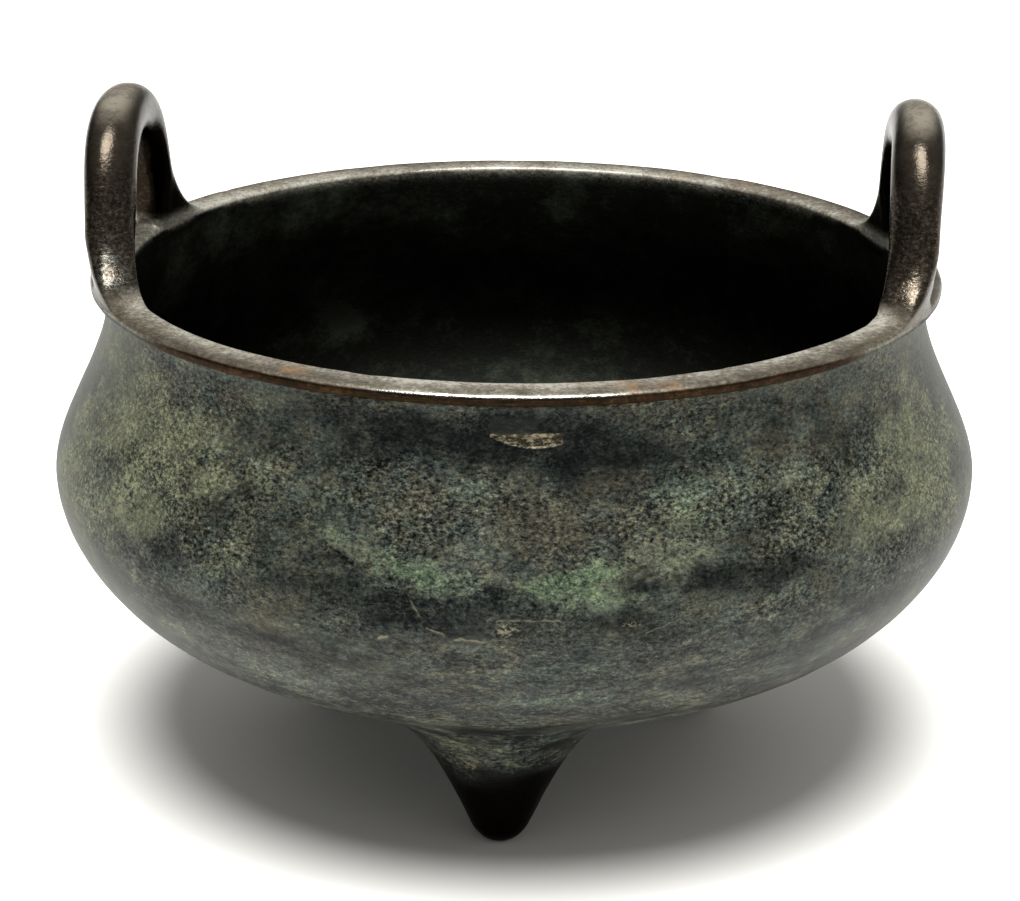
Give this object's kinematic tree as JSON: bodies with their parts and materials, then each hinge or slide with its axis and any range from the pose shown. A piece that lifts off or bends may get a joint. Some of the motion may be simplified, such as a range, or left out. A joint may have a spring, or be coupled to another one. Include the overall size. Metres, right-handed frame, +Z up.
{
  "type": "tripod incense burner",
  "caption": "Bronze incense burner: an open, bulging bowl with a flat lip, an upright loop handle at each side and short conical feet.",
  "frame": {"origin": "on the floor, under the bowl's axis", "axes": "+Z up along the bowl's axis; the loop handles stand at +X and -X; one foot points to -Y"},
  "size_m": [0.1602, 0.1602, 0.1203],
  "materials": {
    "bronze": "dark patinated bronze, satin on the belly and polished on the lip and the handles"
  },
  "bodies": {
    "root": {"tripod_censer": "bronze"}
  },
  "joints": []
}
